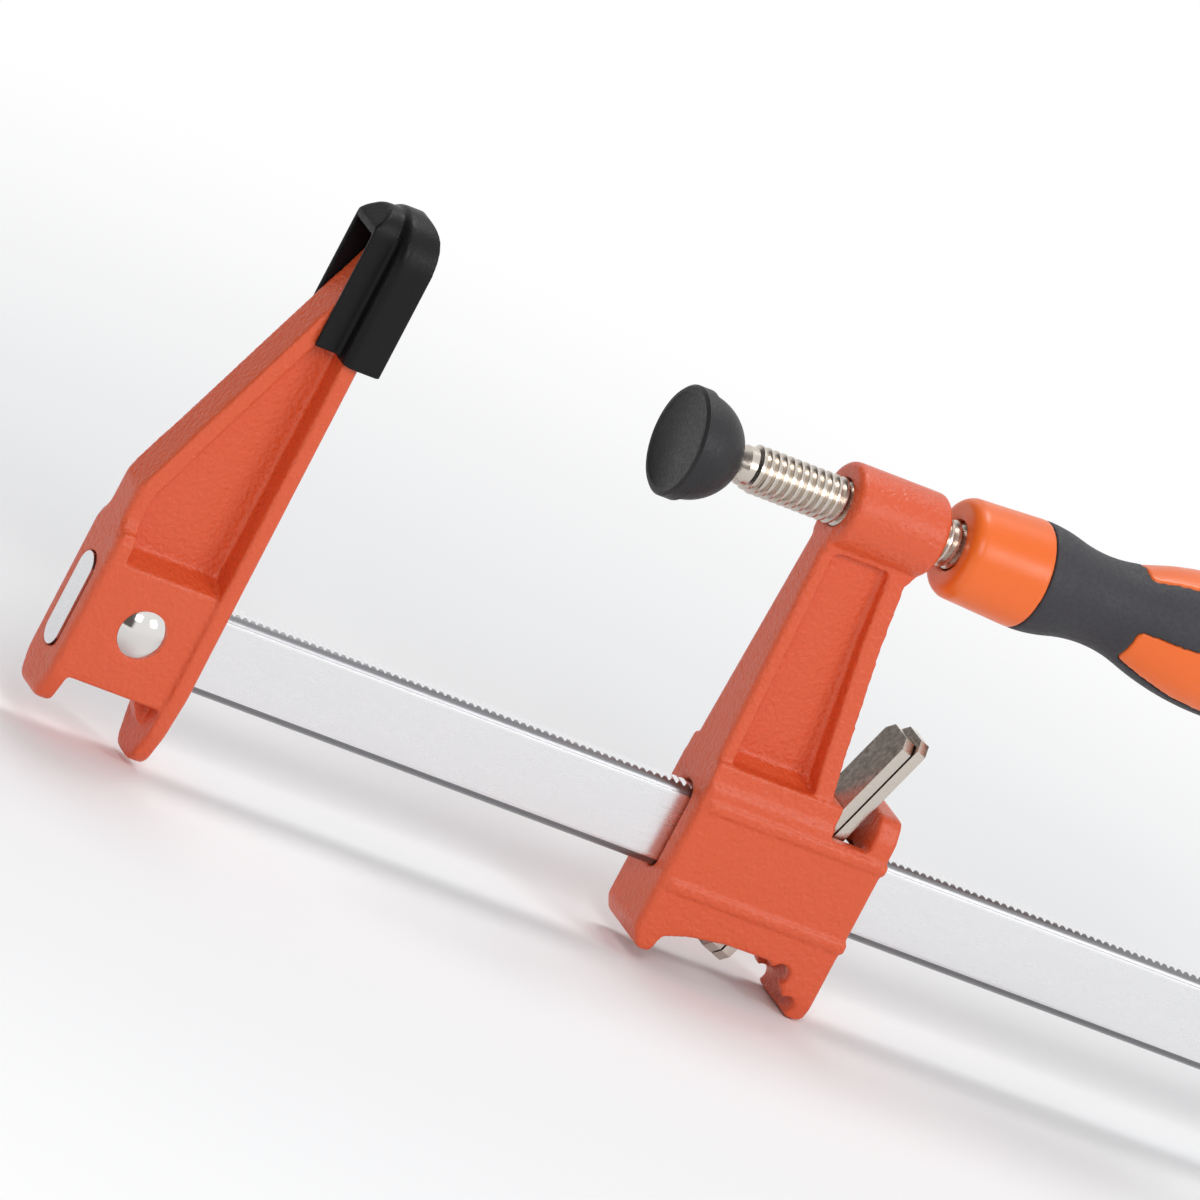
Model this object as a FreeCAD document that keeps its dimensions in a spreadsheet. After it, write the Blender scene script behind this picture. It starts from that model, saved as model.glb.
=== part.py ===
import FreeCAD, Part
import math
import os

# Quick release bar clamp, in millimetres and degrees.
# The origin is the face of the fixed jaw's pad on the axis of the screw.
# +X runs along the bar to the handle, +Z up the jaws, and Y is across the bar.

Vector = FreeCAD.Vector

SIZES = {
    # bar
    "throat_depth": 78.2,
    "bar_height": 22.2,
    "bar_thickness": 8.0,
    "bar_length": 425.0,
    "bar_edge_radius": 3.2,
    "bar_tail": 5.0,
    "bar_tail_height": 24.8,
    "bar_proud": 0.4,
    "tooth_pitch": 2.12,
    "tooth_depth": 0.65,
    "seat_gap": 0.2,
    "slide_gap": 0.3,
    # stop pin and rivet
    "stop_pin_diameter": 5.0,
    "stop_pin_length": 15.0,
    "stop_pin_inset": 7.5,
    "pin_gap": 0.02,
    "rivet_diameter": 7.0,
    "rivet_head_diameter": 12.4,
    "rivet_head_height": 2.5,
    "rivet_seat_depth": 0.5,
    "rivet_inset": 17.0,
    # fixed jaw
    "pad_wall": 4.1,
    "fixed_jaw_depth": 35.2,
    "flange_thickness": 4.6,
    "web_thickness": 5.2,
    "working_flange_width": 19.4,
    "working_flange_foot_width": 21.4,
    "outer_flange_top_width": 10.6,
    "outer_flange_width": 12.4,
    "block_width": 18.4,
    "block_above_bar": 3.6,
    "block_below_bar": 5.0,
    "ledge_rise": 3.3,
    "jaw_rise": 27.0,
    "outer_leg_drop": 13.1,
    "fixed_foot_drop": 20.1,
    "knee_above_bar": 21.6,
    "slant_run": 31.9,
    # fixed jaw pad
    "pad_width": 24.4,
    "pad_fit": 0.2,
    "pad_drop": 9.5,
    "pad_side_wall": 2.2,
    "pad_sleeve_width": 14.2,
    "pad_sleeve_depth": 16.5,
    "pad_sleeve_slope": 3.8,
    # sliding jaw
    "jaw_opening": 129.0,
    "housing_length": 52.3,
    "housing_width": 22.8,
    "housing_wall": 3.8,
    "front_wall": 6.0,
    "rear_wall": 6.0,
    "shoulder_above_bar": 10.2,
    "ear_above_bar": 11.6,
    "skirt_below_bar": 9.6,
    "band_height": 2.6,
    "band_proud": 0.8,
    "front_leg_drop": 17.8,
    "rear_leg_drop": 21.6,
    "arm_front_top_width": 9.0,
    "arm_front_foot_width": 17.0,
    "arm_flange_thickness": 4.0,
    "arm_depth_top": 24.2,
    "arm_foot_to_fulcrum": 6.3,
    "boss_diameter": 21.4,
    "boss_length": 26.3,
    # clutch
    "plate_length": 70.0,
    "plate_width": 13.0,
    "plate_thickness": 2.9,
    "plate_gap": 0.5,
    "plate_lean": 18.6,
    "plate_reach": 2.0,
    "plate_slot_height": 25.2,
    "plate_slot_gap": 0.35,
    "plate_corner": 2.4,
    "plate_side_gap": 1.1,
    "fulcrum_gap": 0.3,
    "fulcrum_above_bar": 8.7,
    "fulcrum_from_rear_wall": 9.3,
    "plate_above_foot": 8.0,
    "spring_diameter": 6.6,
    "spring_wire": 0.9,
    "spring_turns": 5.5,
    "spring_below_bar": 5.3,
    "spring_clearance": 0.3,
    # screw and swivel pad
    "thread_diameter": 12.0,
    "thread_pitch": 2.15,
    "thread_depth": 1.0,
    "thread_length": 64.5,
    "bore_clearance": 0.08,
    "screw_reach": 27.3,
    "ball_diameter": 9.2,
    "neck_diameter": 5.6,
    "nose_diameter": 7.4,
    "shank_diameter": 9.8,
    "shank_length": 80.0,
    "swivel_face_diameter": 28.0,
    "swivel_depth": 15.2,
    "swivel_to_thread": 3.4,
    "swivel_rim": 4.0,
    "socket_gap": 0.1,
    "ring_thickness": 0.7,
    "ring_outer_diameter": 10.4,
    "ring_groove_length": 2.0,
    # handle
    "handle_start": 161.6,
    "handle_length": 127.0,
    "collar_diameter": 27.4,
    "collar_length": 21.6,
    "waist_diameter": 22.2,
    "swell_diameter": 34.0,
    "waist_from_start": 41.5,
    "waist_radius": 38.0,
    "swell_from_start": 79.0,
    "end_diameter": 27.6,
    "end_radius": 11.0,
    "grip_thickness": 2.3,
    "inlay_from_start": 50.0,
    "inlay_length": 66.0,
    "inlay_width": 16.6,
    "inlay_gap": 0.1,
    "inlay_turn": 27.5,
}

doc = FreeCAD.newDocument("bar_clamp")
sheet = doc.addObject("Spreadsheet::Sheet", "Sizes")
for row, (alias, amount) in enumerate(SIZES.items(), 1):
    sheet.set("A%d" % row, alias)
    sheet.set("B%d" % row, str(amount))
    sheet.setAlias("B%d" % row, alias)
doc.recompute()


def size(alias):
    """A driving dimension, read from the sheet."""
    return float(sheet.get(alias))


# Places that follow from the driving dimensions
bar_top = -size("throat_depth")
bar_bottom = bar_top - size("bar_height")
bar_middle = bar_top - size("bar_height") / 2
bar_half = size("bar_thickness") / 2
working_face = -size("pad_wall") - size("pad_fit")
outer_face = working_face - size("fixed_jaw_depth")
bar_start = outer_face - size("bar_proud")
bar_end = bar_start + size("bar_length")
fixed_foot = bar_bottom - size("fixed_foot_drop")
foot = bar_bottom - size("rear_leg_drop")
front = size("jaw_opening")
rear = front + size("housing_length")

PLANES = {
    "XY": FreeCAD.Rotation(),
    "XZ": FreeCAD.Rotation(Vector(1, 0, 0), 90),
    "YZ": FreeCAD.Rotation(Vector(1, 1, 1), 120),
}


def outline(corners):
    """Edges of a closed polygon; a corner is (u, v), or (u, v, radius) where an arc rounds it."""
    count = len(corners)
    turns = []
    for index, corner in enumerate(corners):
        here = Vector(corner[0], corner[1], 0)
        if len(corner) < 3 or corner[2] <= 0:
            turns.append((here, None, here))
            continue
        before = Vector(*corners[index - 1][:2], 0) - here
        after = Vector(*corners[(index + 1) % count][:2], 0) - here
        before.normalize()
        after.normalize()
        half = before.getAngle(after) / 2
        back = corner[2] / math.tan(half)
        inward = before + after
        inward.normalize()
        nearest = here + inward * (corner[2] / math.sin(half) - corner[2])
        turns.append((here + before * back, nearest, here + after * back))
    edges = []
    for index in range(count):
        start, nearest, end = turns[index]
        if nearest is not None:
            edges.append(Part.Arc(start, nearest, end))
        following = turns[(index + 1) % count][0]
        if (following - end).Length > 1e-6:
            edges.append(Part.LineSegment(end, following))
    return edges


def mirrored(right_side):
    """A closed polygon, symmetric about u = 0, from the corners of its right side."""
    left_side = [(-corner[0],) + tuple(corner[1:]) for corner in reversed(right_side)]
    return list(right_side) + left_side


def strip(path, thickness):
    """A band of even thickness to the right of an open path of (u, v) points."""
    inner = []
    for index, point in enumerate(path):
        here = Vector(point[0], point[1], 0)
        normals = []
        for first, second in ((index - 1, index), (index, index + 1)):
            if first < 0 or second >= len(path):
                continue
            run = Vector(path[second][0] - path[first][0], path[second][1] - path[first][1], 0)
            run.normalize()
            normals.append(Vector(run.y, -run.x, 0))
        mean = normals[0] + normals[-1]
        mean.normalize()
        inner.append(here + mean * (thickness / mean.dot(normals[0])))
    return [tuple(p) for p in path] + [(p.x, p.y) for p in reversed(inner)]


def profile(name, plane, edges, at=0.0):
    """A free sketch on a plane through (at) along that plane's normal."""
    sketch = doc.addObject("Sketcher::SketchObject", name)
    normal = PLANES[plane].multVec(Vector(0, 0, 1))
    sketch.Placement = FreeCAD.Placement(normal * at, PLANES[plane])
    for edge in edges:
        sketch.addGeometry(edge, False)
    return sketch


def side_slab(name, corners, width):
    """A side outline in X and Z, as thick as the expression width and centred on Y = 0."""
    solid = doc.addObject("Part::Extrusion", name)
    solid.Base = profile(name + "_side", "XZ", outline(corners))
    solid.DirMode = "Normal"
    solid.Solid = True
    solid.Symmetric = True
    solid.setExpression("LengthFwd", width)
    return solid


def front_slab(name, corners, start, end):
    """A front outline in Y and Z, run along X from start to end."""
    solid = doc.addObject("Part::Extrusion", name)
    solid.Base = profile(name + "_front", "YZ", outline(corners), start)
    solid.DirMode = "Normal"
    solid.Solid = True
    solid.LengthFwd = end - start
    return solid


def top_slab(name, corners, start, end):
    """A top outline in X and Y, run along Z from start to end."""
    solid = doc.addObject("Part::Extrusion", name)
    solid.Base = profile(name + "_top", "XY", outline(corners), start)
    solid.DirMode = "Normal"
    solid.Solid = True
    solid.LengthFwd = end - start
    return solid


def round_bar(name, diameter, start, end):
    """A cylinder across the clamp or along it, from the point start to the point end."""
    run = end - start
    solid = doc.addObject("Part::Cylinder", name)
    solid.setExpression("Radius", diameter)
    solid.Height = run.Length
    solid.Placement = FreeCAD.Placement(start, FreeCAD.Rotation(Vector(0, 0, 1), run))
    return solid


def fuse(name, *solids):
    joined = doc.addObject("Part::MultiFuse", name)
    joined.Shapes = list(solids)
    joined.Refine = True
    return joined


def common(name, *solids):
    shared = doc.addObject("Part::MultiCommon", name)
    shared.Shapes = list(solids)
    shared.Refine = True
    return shared


def cut(name, base, *tools):
    tool = tools[0] if len(tools) == 1 else fuse(name + "_tools", *tools)
    left = doc.addObject("Part::Cut", name)
    left.Base = base
    left.Tool = tool
    left.Refine = True
    return left


def rounded(name, base, radius, chosen):
    """Rounds the edges of a solid whose middle point satisfies chosen."""
    doc.recompute()
    picked = []
    for number, edge in enumerate(base.Shape.Edges, 1):
        middle = edge.valueAt((edge.FirstParameter + edge.LastParameter) / 2)
        if chosen(middle):
            picked.append((number, radius, radius))
    smooth = doc.addObject("Part::Fillet", name)
    smooth.Base = base
    smooth.Edges = picked
    return smooth


def body(label):
    piece = doc.addObject("PartDesign::Body", label)
    piece.Label = label
    return piece


def body_sketch(piece, name, plane, edges, at=0.0):
    """A sketch on one of the body's own origin planes, moved along its normal."""
    planes = [item for item in piece.Origin.OriginFeatures if item.Role == plane + "_Plane"]
    sketch = piece.newObject("Sketcher::SketchObject", name)
    sketch.AttachmentSupport = (planes[0], [""])
    sketch.MapMode = "FlatFace"
    sketch.AttachmentOffset = FreeCAD.Placement(Vector(0, 0, at), FreeCAD.Rotation())
    for edge in edges:
        sketch.addGeometry(edge, False)
    return sketch


def pad(piece, sketch, length, symmetric=False):
    solid = piece.newObject("PartDesign::Pad", sketch.Name + "_pad")
    solid.Profile = sketch
    solid.SideType = "Symmetric" if symmetric else "One side"
    solid.setExpression("Length", length)
    sketch.Visibility = False
    return solid


def pocket(piece, sketch, length):
    """A pocket that runs both ways from its sketch."""
    solid = piece.newObject("PartDesign::Pocket", sketch.Name + "_pocket")
    solid.Profile = sketch
    solid.SideType = "Symmetric"
    solid.setExpression("Length", length)
    return solid


def turned(piece, name, edges):
    """A solid of revolution about the X axis from an outline of (x, radius) points."""
    sketch = body_sketch(piece, name, "XZ", edges)
    solid = piece.newObject("PartDesign::Revolution", name + "_turned")
    solid.Profile = sketch
    solid.ReferenceAxis = (sketch, ["H_Axis"])
    solid.Angle = 360
    return solid


def circle(x, y, radius):
    return Part.Circle(Vector(x, y, 0), Vector(0, 0, 1), radius)


def bar_section(gap):
    """The rounded section of the bar, grown all round by gap."""
    half = bar_half + gap
    radius = size("bar_edge_radius") + gap
    corners = mirrored([(half, bar_bottom - gap, radius), (half, bar_top + gap, radius)])
    return corners


def tail_section(gap):
    """The bar's end, upset in the fixed jaw and fully rounded at top and bottom, grown by gap."""
    half = bar_half + gap
    reach = size("bar_tail_height") / 2 + gap
    return mirrored([(half, bar_middle - reach, half), (half, bar_middle + reach, half)])


# Bar
bar = body("bar")
tail = body_sketch(bar, "bar_tail", "YZ", outline(tail_section(0)), bar_start)
pad(bar, tail, "Sizes.bar_tail")
section = body_sketch(bar, "bar_section", "YZ", outline(bar_section(0)), bar_start + size("bar_tail"))
pad(bar, section, "Sizes.bar_length - Sizes.bar_tail")
pitch = size("tooth_pitch")
tooth_root = bar_top - size("tooth_depth")
teeth_start = bar_start + size("bar_tail")
tooth_count = int((bar_end - teeth_start) / pitch)
teeth = [(teeth_start - pitch, bar_top + pitch), (teeth_start - pitch, bar_top)]
for number in range(tooth_count + 1):
    tooth_start = teeth_start + number * pitch
    teeth.append((tooth_start, bar_top))
    teeth.append((tooth_start + 0.35 * pitch, tooth_root))
    teeth.append((tooth_start + 0.85 * pitch, bar_top))
teeth.append((teeth[-1][0] + pitch, bar_top + pitch))
pocket(bar, body_sketch(bar, "bar_teeth", "XZ", outline(teeth)), "Sizes.bar_thickness * 2")
rivet_x = outer_face + size("rivet_inset")
stop_x = bar_end - size("stop_pin_inset")
for name, x, alias in (
        ("rivet_hole", rivet_x, "rivet_diameter"), ("stop_hole", stop_x, "stop_pin_diameter")):
    hole = body_sketch(bar, name, "XZ", [circle(x, bar_middle, size(alias) / 2 + size("pin_gap"))])
    pocket(bar, hole, "Sizes.bar_thickness * 2")


# Stop pin across the end of the bar
pin_radius = size("stop_pin_diameter") / 2
pin_edge = pin_radius / 5
bar_stop_pin = body("bar_stop_pin")
pin_half = size("stop_pin_length") / 2
turned(bar_stop_pin, "stop_pin_outline", outline([
    (-pin_half, 0), (pin_half, 0), (pin_half, pin_radius - pin_edge), (pin_half - pin_edge, pin_radius),
    (pin_edge - pin_half, pin_radius), (-pin_half, pin_radius - pin_edge)]))
bar_stop_pin.Placement = FreeCAD.Placement(
    Vector(stop_x, 0, bar_middle), FreeCAD.Rotation(Vector(0, 0, 1), 90))


# Rivet through the fixed jaw and the bar, with a domed head at each end
block_half = size("block_width") / 2
seat = block_half - size("rivet_seat_depth")
head_radius = size("rivet_head_diameter") / 2
dome = size("rivet_head_height")
rivet_radius = size("rivet_diameter") / 2
head_edge = Vector(seat + dome * 0.15, head_radius, 0)
head_top = Vector(seat + dome, 0, 0)
head_bulge = Vector(seat + dome * 0.76, head_radius * 0.6, 0)
rivet_edges = []
for way in (1, -1):
    edge = Vector(way * head_edge.x, head_edge.y, 0)
    rivet_edges.append(Part.Arc(
        Vector(way * head_top.x, 0, 0), Vector(way * head_bulge.x, head_bulge.y, 0), edge))
    under = Vector(way * seat, head_radius, 0)
    root = Vector(way * seat, rivet_radius, 0)
    rivet_edges.append(Part.LineSegment(edge, under))
    rivet_edges.append(Part.LineSegment(under, root))
rivet_edges.append(Part.LineSegment(Vector(seat, rivet_radius, 0), Vector(-seat, rivet_radius, 0)))
rivet_edges.append(Part.LineSegment(Vector(-head_top.x, 0, 0), Vector(head_top.x, 0, 0)))
fixed_jaw_rivet = body("fixed_jaw_rivet")
turned(fixed_jaw_rivet, "rivet_outline", rivet_edges)
fixed_jaw_rivet.Placement = FreeCAD.Placement(
    Vector(rivet_x, 0, bar_middle), FreeCAD.Rotation(Vector(0, 0, 1), 90))


# Fixed jaw: working flange, outer flange, web and the block round the bar
jaw_top = size("jaw_rise")
flange = size("flange_thickness")
flange_back = working_face - flange
block_top = bar_top + size("block_above_bar")
block_bottom = bar_bottom - size("block_below_bar")
tongue_half = size("working_flange_width") / 2
tongue_foot_half = size("working_flange_foot_width") / 2


def tongue(grow):
    """The front outline of the working flange, grown all round by grow."""
    top_half = tongue_half + grow
    return mirrored([
        (tongue_half * 0.58, fixed_foot, 4.0),
        (tongue_foot_half * 0.84, fixed_foot + 9, 8),
        (tongue_foot_half + grow, bar_bottom, 12),
        (top_half, -size("pad_drop"), 0),
        (top_half, jaw_top + grow, top_half),
    ])


working_flange = rounded(
    "working_flange",
    front_slab("working_flange_slab", tongue(0), flange_back, working_face),
    1.4,
    lambda point: abs(point.x - working_face) < 0.01,
)
slant_top = (outer_face + size("slant_run"), jaw_top - 3.0)
knee = bar_top + size("knee_above_bar")
outer_path = [
    (outer_face, bar_bottom - size("outer_leg_drop")),
    (outer_face, knee),
    slant_top,
]
outer_top_half = size("outer_flange_top_width") / 2
outer_half = size("outer_flange_width") / 2
waist = block_top + 10.0
outer_flange = common(
    "outer_flange",
    side_slab("outer_flange_strip", strip(outer_path, flange), "Sizes.block_width"),
    front_slab("outer_flange_taper", mirrored([
        (block_half * 0.72, outer_path[0][1], 3.5),
        (block_half, outer_path[0][1] + 7, 6),
        (block_half, block_top + 4.6, 1.5),
        (outer_half, waist, 2.5),
        (outer_top_half, jaw_top)]), outer_face, working_face - 1),
)
outer_flange = rounded(
    "outer_flange_soft", outer_flange, 1.8,
    lambda point: abs(point.x - outer_face) < 0.01 and abs(point.y) > outer_half * 0.5
    and point.z > block_bottom - 6,
)
web = side_slab("fixed_web", [
    (outer_face + 2, block_bottom + 1), (outer_face + 2, knee - 1),
    (slant_top[0] + 1, jaw_top - 4), (flange_back + 1, jaw_top - 4), (flange_back + 1, fixed_foot + 9),
    (flange_back - 1.2, fixed_foot + 9), (flange_back - 6, block_bottom + 1)], "Sizes.web_thickness")
web_half = size("web_thickness") / 2
block = front_slab("fixed_block", mirrored([
    (block_half, block_bottom, 0.6), (block_half, block_top, 0.8),
    (web_half, block_top + size("ledge_rise"))]), outer_face + 2, flange_back + 1)
corner_pad = side_slab("corner_pad", [
    (outer_face + 0.6, block_top - 2), (outer_face + 0.6, block_top + 7.1),
    (outer_face + 4.6, block_top + 7.1, 0.6), (outer_face + 4.6, block_top - 2)],
    "Sizes.block_width - 1")
tail_end = bar_start + size("bar_tail")
slot = front_slab("fixed_slot", bar_section(size("seat_gap")), tail_end - size("seat_gap"), 2)
tail_slot = front_slab(
    "tail_slot", tail_section(size("seat_gap")), bar_start - 2, tail_end + size("seat_gap"))
rivet_bore = round_bar(
    "rivet_bore", "Sizes.rivet_diameter / 2 + Sizes.pin_gap",
    Vector(rivet_x, -block_half - 2, bar_middle), Vector(rivet_x, block_half + 2, bar_middle))
seats = []
for way in (1, -1):
    seats.append(round_bar(
        "rivet_seat", "Sizes.rivet_head_diameter / 2 + Sizes.seat_gap",
        Vector(rivet_x, way * seat, bar_middle), Vector(rivet_x, way * (seat + 5), bar_middle)))
fixed_jaw = cut(
    "fixed_jaw", fuse("fixed_casting", working_flange, outer_flange, web, block, corner_pad),
    slot, tail_slot, rivet_bore, *seats)


# Soft hood over the working end of the fixed jaw
pad_half = size("pad_width") / 2
pad_foot = -size("pad_drop")
side_wall = size("pad_side_wall")
pad_top = jaw_top + size("pad_fit") + side_wall
sleeve_half = size("pad_sleeve_width") / 2
sleeve_back = -size("pad_sleeve_depth")
hood_back = flange_back - size("pad_fit") - 0.8
hood = common(
    "hood_front",
    side_slab("hood_side", [
        (hood_back, pad_foot), (0, pad_foot), (0, pad_top, 4.5), (hood_back, pad_top)],
        "Sizes.pad_width"),
    rounded(
        "hood_face_soft",
        front_slab("hood_face", mirrored([(pad_half, pad_foot), (pad_half, pad_top, pad_half)]),
                   hood_back, 0),
        2.6, lambda point: abs(point.x - hood_back) < 0.01 and point.z > pad_foot + 0.1),
)
sleeve_top = pad_top - 0.8
sleeve_slope = size("pad_sleeve_slope")


def sleeve_side(name, back, foot_level, end, roof):
    """The sleeve's side outline, whose roof falls towards its open back."""
    bend = sleeve_back + sleeve_slope
    low_roof = roof - (bend - back) * 1.3
    return side_slab(name, [
        (back, foot_level), (end, foot_level), (end, roof), (bend, roof, 2.5), (back, low_roof)],
        "Sizes.pad_sleeve_width")


sleeve = common(
    "hood_sleeve",
    sleeve_side("sleeve_skin", sleeve_back, pad_foot + 0.9, hood_back + 1, sleeve_top),
    front_slab("sleeve_face", mirrored([
        (sleeve_half, pad_foot), (sleeve_half, sleeve_top, sleeve_half)]),
        sleeve_back, hood_back + 1),
)
fit = size("pad_fit")
taper_share = (jaw_top - pad_foot) / (jaw_top - waist)
room_half = outer_top_half + (outer_half - outer_top_half) * taper_share + fit
hood_hollow = front_slab(
    "hood_hollow",
    mirrored([(tongue_half + fit, pad_foot - 1), (tongue_half + fit, jaw_top + fit, tongue_half)]),
    flange_back - fit, working_face + fit)
sleeve_hollow = common(
    "sleeve_hollow",
    sleeve_side("sleeve_room", sleeve_back - 1, pad_foot - 1, flange_back, sleeve_top - side_wall),
    front_slab("sleeve_arch", mirrored([
        (room_half, pad_foot - 1), (room_half, sleeve_top - side_wall, room_half - 1)]),
        sleeve_back - 1, flange_back),
)
fixed_jaw_pad = cut("fixed_jaw_pad", fuse("hood", hood, sleeve), hood_hollow, sleeve_hollow)


# Clutch plates: where they lean, and what the housing leaves free for them
lean = math.radians(size("plate_lean"))
along = Vector(math.sin(lean), 0, math.cos(lean))
across = Vector(math.cos(lean), 0, -math.sin(lean))
fulcrum = Vector(
    rear - size("rear_wall") - size("fulcrum_from_rear_wall"), 0, bar_top + size("fulcrum_above_bar"))
plate_step = size("plate_thickness") + size("plate_gap")


def plate_front_x(z):
    """X of the front plate's front face at height z."""
    return fulcrum.x + (z - fulcrum.z) * math.tan(lean)


# Sliding jaw: housing round the bar
housing_half = size("housing_width") / 2
shoulder = bar_top + size("shoulder_above_bar")
skirt = bar_bottom - size("skirt_below_bar")
cavity_front = front + size("front_wall")
cavity_rear = rear - size("rear_wall")
cavity_half = housing_half - size("housing_wall")
slide_gap = size("slide_gap")
window_floor = bar_top + 2.0
leg_tip = bar_bottom - size("front_leg_drop")
skirt_side = [
    (front, bar_top),
    (front, skirt - 3.6, 2.5),
    (front + 2.6, leg_tip, 2.0),
    (front + 6.4, leg_tip, 1.8),
    (front + 7.6, skirt - 3.4, 1.6),
    (front + 14, skirt - 1.4, 7.0),
    (front + 24, skirt, 12.0),
    (cavity_rear - 10, skirt + 0.2),
    (cavity_rear - 4.2, skirt - 4.6, 0.8),
    (rear - 4.4, foot, 1.8),
    (rear, foot, 2.0),
    (rear, bar_top),
]
housing_lower = side_slab("housing_lower", skirt_side, "Sizes.housing_width")
leg_taper = front_slab("leg_taper", mirrored([
    (housing_half - 1.6, foot - 0.01, 1.2), (housing_half, foot + 4.5, 4), (housing_half, bar_top + 1)]),
    front - 1, rear + 1)
housing_upper = front_slab("housing_upper", mirrored([
    (housing_half, bar_bottom), (housing_half, bar_top + 3.6, 1.2),
    (housing_half - 1.2, bar_top + 5.6, 1.0), (housing_half - 1.5, shoulder, 0.8)]),
    front, fulcrum.x - 1.2)
housing_front = []
for name, solid, taper in (("lower", housing_lower, [leg_taper]), ("upper", housing_upper, [])):
    plan = top_slab(name + "_plan", [
        (front, -housing_half, 2.0), (rear, -housing_half), (rear, housing_half), (front, housing_half, 2.0)],
        foot - 1, shoulder + 1)
    housing_front.append(common("housing_" + name + "_soft", solid, plan, *taper))
ear_top = bar_top + size("ear_above_bar")
ear = front_slab("ear", mirrored([
    (housing_half, bar_bottom), (housing_half, ear_top - 5.6, 3.0), (housing_half - 2.6, ear_top, 3.0)]),
    cavity_rear, rear)
side_walls = front_slab("side_walls", mirrored([
    (housing_half, bar_bottom), (housing_half, window_floor)]), front + 2, rear - 2)
bands = []
for name, height in (("upper", bar_top + 0.8), ("lower", bar_bottom + 1.2)):
    bands.append(front_slab(name + "_band", mirrored([
        (housing_half + size("band_proud"), height - size("band_height"), 0.5),
        (housing_half + size("band_proud"), height, 0.5)]), front + 2.4, rear + 0.4))
housing = fuse("housing", *housing_front, ear, side_walls, *bands)


# Sliding jaw: arm and screw boss
boss_half = size("boss_diameter") / 2
arm_flange = size("arm_flange_thickness")
arm_top_half = size("arm_front_top_width") / 2
arm_foot_half = size("arm_front_foot_width") / 2
arm_top = -boss_half + 0.6
arm_rear_top = front + size("arm_depth_top")
boss_end = front + 0.4 + size("boss_length")
arm_rear_foot = fulcrum.x - size("arm_foot_to_fulcrum")
front_flange = front_slab("arm_front_taper", mirrored([
    (arm_foot_half, shoulder - 1.5), (arm_foot_half, shoulder + 3, 6), (arm_top_half, arm_top + 4)]),
    front, front + arm_flange)
front_flange = rounded(
    "arm_front_flange", front_flange, 1.6,
    lambda point: abs(point.x - front) < 0.01 and abs(point.y) > arm_top_half * 0.9)
rear_path = [
    (boss_end, arm_top + 4.0),
    (arm_rear_top, arm_top - 2.0),
    (arm_rear_top + 1.6, arm_top - 18.0),
    (arm_rear_foot, shoulder + 9.0),
    (arm_rear_foot + 2.2, shoulder - 1.5),
]
rear_flange = common(
    "arm_rear_flange",
    side_slab("arm_rear_strip", strip(rear_path, 5.2), "Sizes.arm_front_foot_width + 1"),
    front_slab("arm_rear_taper", mirrored([
        (arm_foot_half + 0.5, shoulder - 2), (arm_foot_half + 0.3, shoulder + 3, 6),
        (arm_top_half + 0.6, arm_top + 5)]), front + 10, rear),
)
arm_web = side_slab("arm_web", [
    (front + 1, shoulder - 2), (front + 1, arm_top + 2), (arm_rear_top, arm_top + 2),
    (arm_rear_top, arm_top - 3), (arm_rear_foot, shoulder + 8), (arm_rear_foot, shoulder - 2)],
    "Sizes.web_thickness")
arm_ledge = front_slab("arm_ledge", mirrored([
    (housing_half - 2, shoulder - 3), (arm_foot_half - 0.5, shoulder - 1.2, 0.5),
    (web_half, shoulder + 2.4)]), front + 1.5, arm_rear_foot - 1)
saddle = side_slab("boss_saddle", [
    (front, arm_top + 5), (front, arm_top - 1.4, 2.2), (front + 6, arm_top - 0.6, 3),
    (arm_rear_top - 6, arm_top - 0.6, 3), (arm_rear_top, arm_top - 3.4, 2),
    (boss_end, arm_top + 3), (boss_end, arm_top + 5)],
    "Sizes.arm_front_top_width + 1.6")
boss = rounded(
    "boss", round_bar("boss_round", "Sizes.boss_diameter / 2", Vector(front + 0.4, 0, 0),
                      Vector(boss_end, 0, 0)),
    1.9, lambda point: abs(point.y) + abs(point.z) > 1)
screw_bore = round_bar(
    "screw_bore", "Sizes.thread_diameter / 2 + Sizes.bore_clearance",
    Vector(front - 2, 0, 0), Vector(front + size("boss_length") + 3, 0, 0))


# Sliding jaw: what is cut away for the bar, the plates and the rear window
jaw_slot = front_slab("jaw_slot", bar_section(slide_gap), front - 2, rear + 2)
cavity = side_slab("cavity", [
    (cavity_front, bar_top + slide_gap), (cavity_front, foot - 2),
    (cavity_rear, foot - 2), (cavity_rear, bar_top + slide_gap)],
    "Sizes.housing_width - 2 * Sizes.housing_wall")
window = side_slab("window", [
    (fulcrum.x - 1.2, ear_top + 4), (fulcrum.x - 1.2, bar_top + 4.0, 1.5),
    (fulcrum.x + 1.2, window_floor, 1.6), (cavity_rear - 2.0, window_floor, 2.6),
    (cavity_rear + 0.01, bar_top + 6.0, 2.0), (cavity_rear + 0.01, ear_top + 4)],
    "Sizes.housing_width + 4")
pocket_low = bar_top - 1
pocket_high = shoulder + 4
fulcrum_gap = size("fulcrum_gap")
plate_pocket = side_slab("plate_pocket", [
    (plate_front_x(pocket_low) - fulcrum_gap, pocket_low),
    (plate_front_x(pocket_high) - fulcrum_gap, pocket_high),
    (cavity_rear, pocket_high), (cavity_rear, pocket_low)],
    "Sizes.housing_width - 2 * Sizes.housing_wall")
scallops = []
for name, x, z, radius in (
        ("upper", cavity_rear - 5.9, skirt - 2.2, 2.7), ("lower", cavity_rear - 0.6, foot + 3.2, 2.3)):
    scallops.append(round_bar(
        name + "_scallop", str(radius), Vector(x, -housing_half - 2, z), Vector(x, housing_half + 2, z)))
casting = fuse(
    "sliding_casting", housing, front_flange, rear_flange, arm_web, arm_ledge, saddle, boss)
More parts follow.
